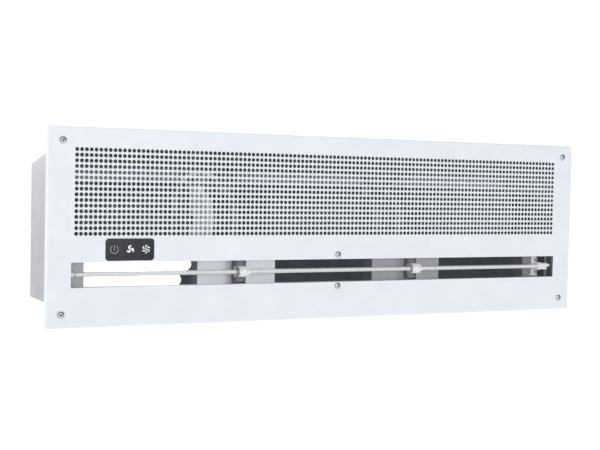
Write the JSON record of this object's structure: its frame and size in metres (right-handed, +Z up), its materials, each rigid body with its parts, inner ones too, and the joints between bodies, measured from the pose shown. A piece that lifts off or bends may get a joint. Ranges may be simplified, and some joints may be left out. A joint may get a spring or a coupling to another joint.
{
  "type": "air curtain",
  "caption": "Recessed air curtain: perforated inlet panel over a sheet-metal box with centrifugal blowers and a long outlet slot with a tilting vane.",
  "frame": {"origin": "centre of the wall screw pattern, in the wall plane that the mounting flange bears on", "axes": "+X along the width, +Y into the wall, +Z up; the face panel looks to -Y"},
  "size_m": [0.93, 0.2204, 0.287],
  "materials": {
    "panel_white": "white powder coat, semi-gloss",
    "box_paint": "pale grey-white paint, satin",
    "zinc_sheet": "galvanised sheet, dull",
    "dark_sheet": "dark paint, matt",
    "screw_steel": "bright zinc plate",
    "dark_lens": "charcoal, smooth, white key symbols",
    "grey_plastic": "light grey moulded plastic",
    "circuit_board": "green board",
    "wheel_plastic": "dark moulded plastic",
    "motor_paint": "black motor enamel",
    "motor_iron": "iron core with windings",
    "bearing_steel": "ground steel",
    "vane_plastic": "pale moulded plastic, satin",
    "tube_glass": "opal white glass",
    "gland_plastic": "black plastic",
    "lead_white": "white lead sheath"
  },
  "bodies": {
    "housing": {"face_panel": "panel_white", "box_wrap": "box_paint", "end_plate_left": "box_paint", "end_plate_right": "box_paint", "mounting_flange": "box_paint", "outlet_deck": "zinc_sheet", "motor_saddle_left": "zinc_sheet", "motor_saddle_right": "zinc_sheet", "motor_bands_left": "zinc_sheet", "motor_bands_right": "zinc_sheet", "capacitor_clips": "zinc_sheet", "terminal_box": "zinc_sheet", "panel_standoffs": "zinc_sheet", "collar_left": "dark_sheet", "collar_middle": "dark_sheet", "collar_right": "dark_sheet", "fan_casing_left": "dark_sheet", "fan_casing_middle": "dark_sheet", "fan_casing_right": "dark_sheet", "corner_screws": "screw_steel", "slot_screws": "screw_steel", "bracket_screws": "screw_steel", "touch_lens": "dark_lens", "control_housing": "grey_plastic", "vane_bracket_left": "grey_plastic", "vane_bracket_mid_left": "grey_plastic", "vane_bracket_mid_right": "grey_plastic", "vane_bracket_right": "grey_plastic", "tube_holder": "grey_plastic", "terminal_block": "grey_plastic", "run_capacitors": "grey_plastic", "control_board": "circuit_board", "motor_shell_left": "motor_paint", "motor_shell_right": "motor_paint", "motor_stator_left": "motor_iron", "motor_stator_right": "motor_iron", "motor_bearings_left": "bearing_steel", "motor_bearings_right": "bearing_steel", "light_tube_upper": "tube_glass", "light_tube_lower": "tube_glass", "cable_gland": "gland_plastic", "control_lead": "lead_white", "motor_lead": "lead_white", "supply_lead": "lead_white"},
    "vane": {"vane_blade": "vane_plastic", "vane_coupler_left": "vane_plastic", "vane_coupler_right": "vane_plastic", "vane_end_left": "vane_plastic", "vane_end_right": "vane_plastic"},
    "rotor_left": {"drive_shaft_left": "bearing_steel", "motor_rotor_left": "motor_iron", "blower_wheel_left": "wheel_plastic", "blower_wheel_middle": "wheel_plastic"},
    "rotor_right": {"drive_shaft_right": "bearing_steel", "motor_rotor_right": "motor_iron", "blower_wheel_right": "wheel_plastic"}
  },
  "joints": [
    {"name": "vane_tilt", "type": "hinge", "parent": "housing", "child": "vane", "pos_m": [0, 0, -0.0675], "axis": [1, 0, 0], "range_deg": [-40, 40]},
    {"name": "rotor_left_spin", "type": "hinge", "parent": "housing", "child": "rotor_left", "pos_m": [-0.16425, 0.11424, 0.008], "axis": [1, 0, 0], "continuous": true},
    {"name": "rotor_right_spin", "type": "hinge", "parent": "housing", "child": "rotor_right", "pos_m": [0.14125, 0.11424, 0.008], "axis": [1, 0, 0], "continuous": true}
  ]
}
